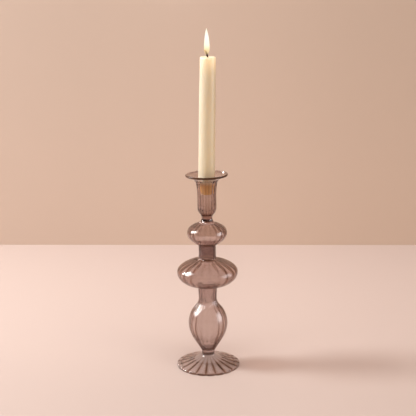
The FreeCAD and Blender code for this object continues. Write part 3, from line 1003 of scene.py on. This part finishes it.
def add_surface(name, verts, color, tones, back_clear=False):
    """A flat studio surface; tones holds its two axes with their tables of painted light and shade.
    """
    ob = new_object(name, verts, [(0, 1, 2, 3)], smooth_shaded=False)
    shader = Shader(name)
    place = shader.node("SeparateXYZ", {0: shader.coords()})
    factors = [tone(shader, place.outputs[axis], table) for axis, table in tones]
    toned = shader.out("VectorMath", 0, {0: color, "Scale": shader.math("MULTIPLY", *factors)},
                       operation="SCALE")
    surface = shader.out("BsdfPrincipled", 0, {
        "Base Color": toned, "Roughness": 0.75, "Specular IOR Level": 0.15})
    if back_clear:
        backfacing = shader.out("NewGeometry", "Backfacing")
        surface = shader.mix_shader(backfacing, surface, shader.transparent())
    shader.finish(ob, surface=surface)


add_surface("floor", [(-FLOOR_HALF, -FLOOR_HALF, 0), (FLOOR_HALF, -FLOOR_HALF, 0),
                      (FLOOR_HALF, FLOOR_HALF, 0), (-FLOOR_HALF, FLOOR_HALF, 0)],
            FLOOR_COLOR, tones=(("X", FLOOR_PAINTED_LIGHT_X), ("Y", FLOOR_PAINTED_LIGHT_Y)))
add_surface("backdrop", [(-WALL_HALF, WALL_LEFT_Y, 0), (WALL_HALF, WALL_RIGHT_Y, 0),
                         (WALL_HALF, WALL_RIGHT_Y, WALL_HEIGHT),
                         (-WALL_HALF, WALL_LEFT_Y, WALL_HEIGHT)],
            WALL_COLOR, tones=(("X", WALL_PAINTED_LIGHT_X), ("Z", WALL_PAINTED_LIGHT_Z)), back_clear=True)

# ------------------------------------------------------------------ light
LIGHTS = [   # name, place, aims at, width, height, watts, colour
    ("key", (-1.55, 0.05, 1.17), (0, 0, 0.15), 0.52, 0.52, 34, (1.0, 0.99, 0.97)),
    ("low_fill", (1.25, -0.95, 0.26), (0, 0, 0.28), 0.7, 0.5, 6.0, (1.0, 0.76, 0.45)),
    ("top", (0.0, -0.2, 2.2), (0, 0.1, 0), 1.8, 1.8, 9, (1.0, 0.98, 0.96)),
    ("wall_wash", (0.0, -0.5, 1.7), (0, 0.56, 0.45), 1.6, 0.5, 12, (1.0, 0.98, 0.96)),
]
CARDS = [    # name, place, faces, width, height, strength, colour, feathered part, turn in degrees
    ("key_card", (-1.60, 0.34, 1.18), (0, 0, 0.15), 1.95, 1.95, 27, (1.0, 0.985, 0.97), 0.72, 14),
    ("side_card", (1.40, -0.30, 0.45), (0, 0, 0.15), 1.60, 1.50, 7.5, (0.94, 0.96, 1.0), 0.85, 0),
    ("pan_card", (-0.05, 0.50, 0.45), (0, 0, 0.25), 0.070, 0.034, 20, (1.0, 0.99, 0.98), 0.40, 0),
]
WORLD_COLOR = (0.62, 0.46, 0.38)
WORLD_STRENGTH = 0.50


def aim(place, target):
    return (Vector(target) - Vector(place)).to_track_quat("-Z", "Y")


def add_softbox(name, place, target, width, height, watts, color):
    """An area light that doesn't show in reflections or through the glass."""
    light = bpy.data.lights.new(name, "AREA")
    light.shape = "RECTANGLE"
    light.size, light.size_y = width, height
    light.energy = watts
    light.color = color
    ob = bpy.data.objects.new(name, light)
    ob.location = place
    ob.rotation_euler = aim(place, target).to_euler()
    ob.visible_glossy = ob.visible_transmission = False
    bpy.context.scene.collection.objects.link(ob)


def add_card(name, place, target, width, height, strength, color, feather, turn):
    """A bright card that only shows as a reflection in the glass and wax, its edges feathered."""
    x, y = width / 2, height / 2
    ob = new_object(name, [(-x, -y, 0), (x, -y, 0), (x, y, 0), (-x, y, 0)], [(0, 1, 2, 3)],
                    smooth_shaded=False)
    ob.location = place
    ob.rotation_euler = (aim(place, target)
                         @ Quaternion((0, 0, 1), math.radians(turn))).to_euler()
    shader = Shader(name)
    across = shader.node("SeparateXYZ", {0: shader.coords()})
    fades = [shader.map_range(shader.math("ABSOLUTE", across.outputs[axis]), from_min=half,
                              from_max=half * (1 - feather), easing="SMOOTHSTEP")
             for axis, half in (("X", x), ("Y", y))]
    surface = shader.mix_shader(shader.math("MULTIPLY", *fades), shader.transparent(),
                                shader.emission(color, strength))
    shader.finish(ob, surface=surface)
    ob.visible_camera = ob.visible_diffuse = ob.visible_transmission = False
    ob.visible_shadow = ob.visible_volume_scatter = False


for spec in LIGHTS:
    add_softbox(*spec)
for spec in CARDS:
    add_card(*spec)

scene = bpy.context.scene
world = bpy.data.worlds.new("studio")
world.use_nodes = True
scene.world = world
background = world.node_tree.nodes["Background"]
background.inputs["Color"].default_value = (*WORLD_COLOR, 1)
background.inputs["Strength"].default_value = WORLD_STRENGTH

# ------------------------------------------------------------------ camera
CAMERA_PLACE = (0, -1.321, 0.538)
CAMERA_PITCH = math.radians(14.03)      # downwards
CAMERA_ROLL = math.radians(-0.60)
CAMERA_LENS = 94.75961538               # mm, on a sensor 36 mm wide
CAMERA_SHIFT_X = 0.0028

camera_data = bpy.data.cameras.new("camera")
camera_data.sensor_width = 36
camera_data.lens = CAMERA_LENS
camera_data.clip_end = 50
camera_data.shift_x = CAMERA_SHIFT_X
camera = bpy.data.objects.new("camera", camera_data)
camera.location = CAMERA_PLACE
forward = Vector((0, math.cos(CAMERA_PITCH), -math.sin(CAMERA_PITCH)))
camera.rotation_mode = "QUATERNION"
camera.rotation_quaternion = (forward.to_track_quat("-Z", "Y")
                              @ Quaternion((0, 0, 1), CAMERA_ROLL))
scene.collection.objects.link(camera)
scene.camera = camera

# ------------------------------------------------------------------ render settings
scene.view_settings.view_transform = "Standard"
scene.view_settings.look = "None"
scene.cycles.max_bounces = 32
scene.cycles.transmission_bounces = 24
scene.cycles.glossy_bounces = 12
scene.cycles.diffuse_bounces = 4
scene.cycles.transparent_max_bounces = 48
scene.cycles.volume_bounces = 0
scene.cycles.caustics_refractive = True
scene.cycles.caustics_reflective = False
scene.cycles.sample_clamp_indirect = 4.0
